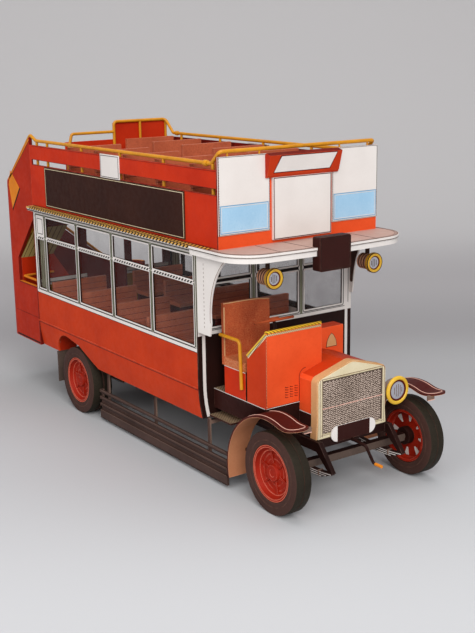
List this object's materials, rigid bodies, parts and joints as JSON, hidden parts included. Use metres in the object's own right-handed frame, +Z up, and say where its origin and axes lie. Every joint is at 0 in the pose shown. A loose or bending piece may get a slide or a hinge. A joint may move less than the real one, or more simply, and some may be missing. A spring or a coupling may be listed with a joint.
{
  "type": "card model of an open-top double decker bus",
  "caption": "Printed-card model of an early open-top double decker bus with half cab, bonnet, outside rear stairs and disc wheels that roll.",
  "frame": {"origin": "on the ground under the middle of the model's bounding box", "axes": "+Z up, -Y towards the front of the bus, +Y along its length to the rear, +X to its nearside"},
  "size_m": [0.0548, 0.1568, 0.087],
  "materials": {
    "red_card": "printed card, satin varnish",
    "black_card": "printed card",
    "white_card": "printed card",
    "brown_card": "printed card",
    "deck_card": "printed card",
    "floor_card": "printed card",
    "seat_card": "printed card",
    "clear_film": "clear acetate film",
    "painted_wire": "brush-painted wire",
    "radiator_card": "printed card",
    "lamp_card": "painted card",
    "tyre_card": "painted laminated card",
    "wheel_card": "painted laminated card"
  },
  "bodies": {
    "bus": {"bonnet": "red_card", "bulkhead_frame": "white_card", "bulkhead_panel": "black_card", "cab_dash": "red_card", "cab_floor": "black_card", "cab_rail": "painted_wire", "cab_step": "floor_card", "canopy_brackets": "white_card", "canopy_edging": "white_card", "canopy_lamps": "lamp_card", "chassis_frame": "black_card", "destination_board": "white_card", "destination_box": "brown_card", "driver_seat": "seat_card", "engine_valance": "black_card", "front_axle": "black_card", "front_boards": "white_card", "handrail_front": "painted_wire", "handrail_rear": "painted_wire", "handrails_side": "painted_wire", "headlamp": "lamp_card", "leaf_springs": "black_card", "lifeguards": "black_card", "mudguard_stays": "brown_card", "mudguards": "brown_card", "number_plate": "brown_card", "platform_floor": "floor_card", "platform_rail": "painted_wire", "radiator": "radiator_card", "rear_axle": "black_card", "rear_bulkhead": "red_card", "rear_mudflaps": "black_card", "route_box": "brown_card", "saloon_floor": "floor_card", "saloon_seats": "seat_card", "scuttle": "red_card", "seat_box": "red_card", "side_boards": "brown_card", "side_number_boards": "white_card", "side_panels": "red_card", "stair_casing": "red_card", "stair_panel": "red_card", "staircase": "red_card", "starting_handle": "painted_wire", "steering_wheel": "seat_card", "upper_deck_floor": "deck_card", "upper_front_panel": "red_card", "upper_rear_panel": "red_card", "upper_seats": "seat_card", "upper_side_panels": "red_card", "window_film": "clear_film", "window_frames": "white_card"},
    "front_nearside_wheel": {"tyre_front_nearside": "tyre_card", "wheel_front_nearside": "wheel_card"},
    "front_offside_wheel": {"tyre_front_offside": "tyre_card", "wheel_front_offside": "wheel_card"},
    "rear_nearside_wheel": {"tyre_rear_nearside": "tyre_card", "wheel_rear_nearside": "wheel_card"},
    "rear_offside_wheel": {"tyre_rear_offside": "tyre_card", "wheel_rear_offside": "wheel_card"}
  },
  "joints": [
    {"name": "front_nearside_spin", "type": "hinge", "parent": "bus", "child": "front_nearside_wheel", "pos_m": [0.0216, -0.0678, 0.0103], "axis": [1, 0, 0], "continuous": true},
    {"name": "front_offside_spin", "type": "hinge", "parent": "bus", "child": "front_offside_wheel", "pos_m": [-0.0216, -0.0678, 0.0103], "axis": [1, 0, 0], "continuous": true},
    {"name": "rear_nearside_spin", "type": "hinge", "parent": "bus", "child": "rear_nearside_wheel", "pos_m": [0.0218, 0.0294, 0.0103], "axis": [1, 0, 0], "continuous": true},
    {"name": "rear_offside_spin", "type": "hinge", "parent": "bus", "child": "rear_offside_wheel", "pos_m": [-0.0218, 0.0294, 0.0103], "axis": [1, 0, 0], "continuous": true}
  ]
}
